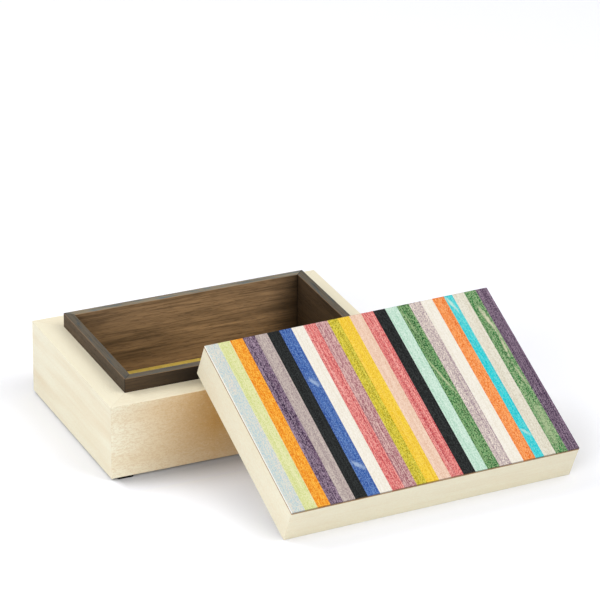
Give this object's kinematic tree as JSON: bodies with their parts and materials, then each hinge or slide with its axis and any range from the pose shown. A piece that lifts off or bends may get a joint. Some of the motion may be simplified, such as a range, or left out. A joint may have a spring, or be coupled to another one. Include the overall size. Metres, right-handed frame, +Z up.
{
  "type": "keepsake box with loose lid",
  "caption": "Wooden keepsake box: thick pale case, dark inner tray standing proud as a lip, felt floor, and a loose lid faced with dyed strips, leaning on the case's front.",
  "frame": {"origin": "on the floor, in the middle of the footprint of the whole, the leaning lid included", "axes": "+X along the box's long side to the right, +Y from its front to its back, +Z up"},
  "size_m": [0.3226, 0.3144, 0.0991],
  "materials": {
    "maple": "clear satin oil on planed boards",
    "walnut": "dark, open-grained, satin oil",
    "plywood": "sanded, unfinished",
    "mustard_felt": "pressed wool felt",
    "black_felt": "dense felt pad",
    "dyed_sky": "water-dyed strip, satin oil",
    "dyed_lime": "water-dyed strip, satin oil",
    "dyed_orange": "water-dyed strip, satin oil",
    "dyed_plum": "water-dyed strip, satin oil",
    "dyed_taupe": "water-dyed strip, satin oil",
    "dyed_black": "water-dyed strip, satin oil",
    "dyed_blue": "water-dyed strip, satin oil",
    "dyed_cream": "water-dyed strip, satin oil",
    "dyed_coral": "water-dyed strip, satin oil",
    "dyed_mauve": "water-dyed strip, satin oil",
    "dyed_olive": "water-dyed strip, satin oil",
    "dyed_yellow": "water-dyed strip, satin oil",
    "dyed_blush": "water-dyed strip, satin oil",
    "dyed_mint": "water-dyed strip, satin oil",
    "dyed_green": "water-dyed strip, satin oil",
    "dyed_lilac": "water-dyed strip, satin oil",
    "dyed_tangerine": "water-dyed strip, satin oil",
    "dyed_turquoise": "water-dyed strip, satin oil",
    "dyed_sand": "water-dyed strip, satin oil",
    "dyed_leaf": "water-dyed strip, satin oil"
  },
  "bodies": {
    "case": {"case_back_wall": "maple", "case_bottom_panel": "plywood", "case_front_wall": "maple", "case_left_wall": "maple", "case_right_wall": "maple", "foot_back_left": "black_felt", "foot_back_right": "black_felt", "foot_front_left": "black_felt", "foot_front_right": "black_felt", "tray_back_wall": "walnut", "tray_bottom_panel": "plywood", "tray_felt_lining": "mustard_felt", "tray_front_wall": "walnut", "tray_left_wall": "walnut", "tray_right_wall": "walnut"},
    "lid": {"lid_back_rail": "maple", "lid_front_rail": "maple", "lid_left_rail": "maple", "lid_panel": "plywood", "lid_right_rail": "maple", "strip_01_sky": "dyed_sky", "strip_02_lime": "dyed_lime", "strip_03_orange": "dyed_orange", "strip_04_plum": "dyed_plum", "strip_05_taupe": "dyed_taupe", "strip_06_black": "dyed_black", "strip_07_blue": "dyed_blue", "strip_08_cream": "dyed_cream", "strip_09_coral": "dyed_coral", "strip_10_mauve": "dyed_mauve", "strip_11_olive": "dyed_olive", "strip_12_yellow": "dyed_yellow", "strip_13_blush": "dyed_blush", "strip_14_coral": "dyed_coral", "strip_15_black": "dyed_black", "strip_16_mint": "dyed_mint", "strip_17_green": "dyed_green", "strip_18_lilac": "dyed_lilac", "strip_19_cream": "dyed_cream", "strip_20_tangerine": "dyed_tangerine", "strip_21_turquoise": "dyed_turquoise", "strip_22_sand": "dyed_sand", "strip_23_leaf": "dyed_leaf", "strip_24_plum": "dyed_plum"}
  },
  "joints": [
    {"name": "lid_lift", "type": "slide", "parent": "case", "child": "lid", "axis": [0, 0, 1], "range_m": [0, 0.085]}
  ]
}
